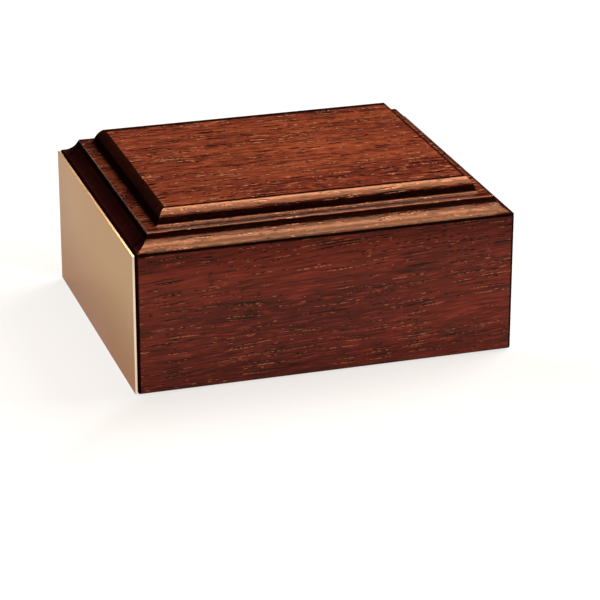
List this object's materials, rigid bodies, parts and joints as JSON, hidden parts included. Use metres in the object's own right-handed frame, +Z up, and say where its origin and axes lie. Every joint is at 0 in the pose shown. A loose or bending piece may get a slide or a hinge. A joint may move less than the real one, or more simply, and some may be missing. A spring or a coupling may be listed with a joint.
{
  "type": "display base",
  "caption": "Low rectangular wooden display base with a stepped, moulded top and a satin gold-coloured plate on one end.",
  "frame": {"origin": "centre of the bounding box at its base, on the surface that the felt rests on", "axes": "+X along the length with the end plate at -X, -Y towards the front long wall, +Z up"},
  "size_m": [0.1532, 0.128, 0.0695],
  "materials": {
    "mahogany": "mahogany-stained open-pored hardwood under semi-gloss lacquer",
    "satin_gold": "smooth satin, lacquered, gold-coloured",
    "adhesive": "thin double-sided mounting film",
    "panel_wood": "plain sanded panel, unstained",
    "raw_wood": "bare sawn hardwood",
    "felt": "short-napped wool felt",
    "screw_brass": "plain turned brass, lightly tarnished"
  },
  "bodies": {
    "root": {"top_board": "mahogany", "front_wall": "mahogany", "back_wall": "mahogany", "left_end_wall": "mahogany", "right_end_wall": "mahogany", "bottom_panel": "panel_wood", "base_felt": "felt", "end_plate": "satin_gold", "plate_adhesive": "adhesive", "mitre_spline_front_left": "raw_wood", "mitre_spline_front_right": "raw_wood", "mitre_spline_back_left": "raw_wood", "mitre_spline_back_right": "raw_wood", "glue_block_front_left": "raw_wood", "glue_block_front_right": "raw_wood", "glue_block_back_left": "raw_wood", "glue_block_back_right": "raw_wood", "top_dowel_front_left": "raw_wood", "top_dowel_front_right": "raw_wood", "top_dowel_back_left": "raw_wood", "top_dowel_back_right": "raw_wood", "panel_screw_front_left": "screw_brass", "panel_screw_front_right": "screw_brass", "panel_screw_back_left": "screw_brass", "panel_screw_back_right": "screw_brass"}
  },
  "joints": []
}
